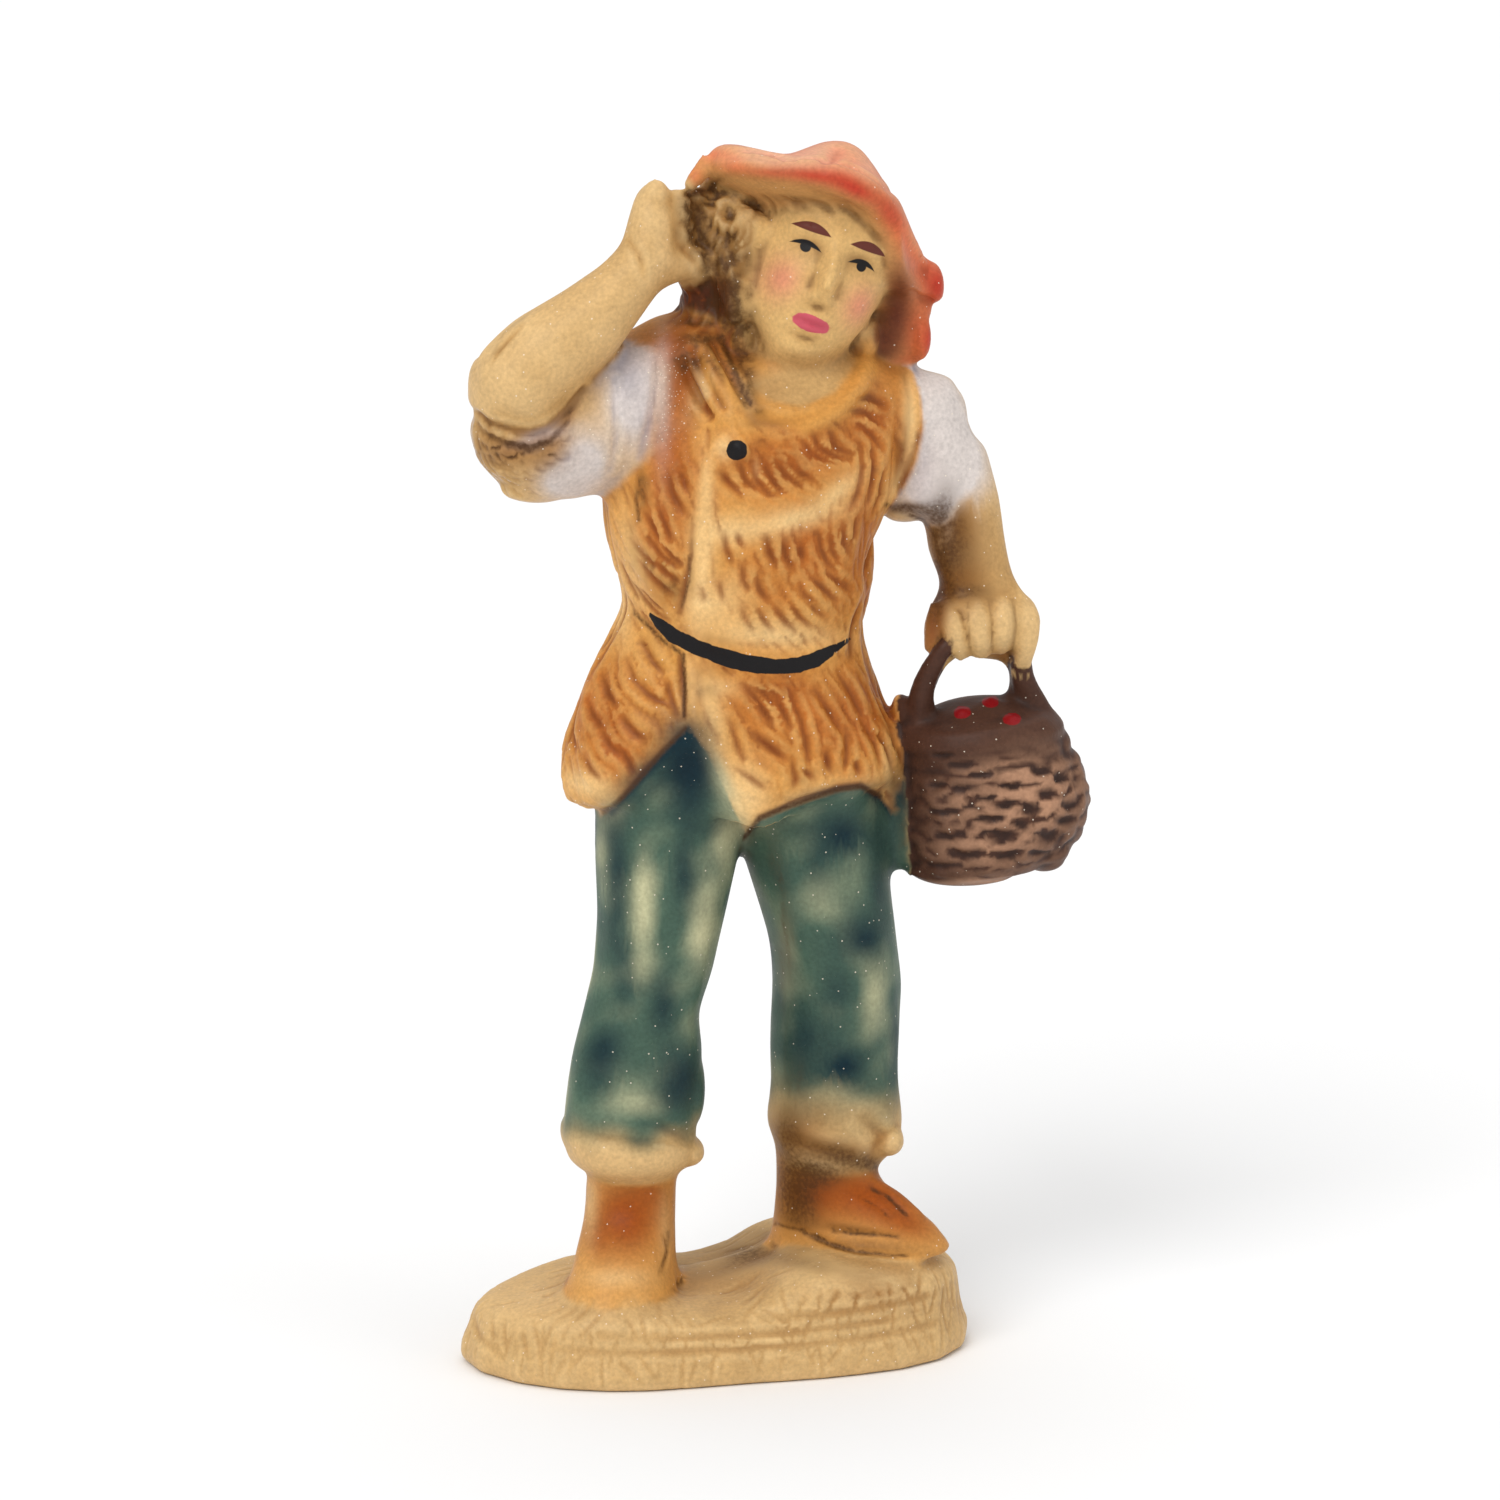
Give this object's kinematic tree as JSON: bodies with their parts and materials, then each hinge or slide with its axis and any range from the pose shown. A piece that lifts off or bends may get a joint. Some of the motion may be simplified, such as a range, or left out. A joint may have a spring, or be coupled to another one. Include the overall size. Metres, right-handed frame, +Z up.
{
  "type": "nativity figure",
  "caption": "Painted standing herdsman in a fur jerkin, a hand raised to the brim of the hat, a basket of berries held low, cast whole with its oblong ground.",
  "frame": {"origin": "middle of the ground's flat underside", "axes": "+Z up, -Y the way the figure faces, +X towards the basket"},
  "size_m": [0.0624, 0.0277, 0.1185],
  "materials": {
    "painted_casting": "cream casting resin, airbrushed in orange-brown, blue-green, white and red, with a dark wash in the hollows and a soft satin gloss"
  },
  "bodies": {
    "root": {"herdsman_figure": "painted_casting"}
  },
  "joints": []
}
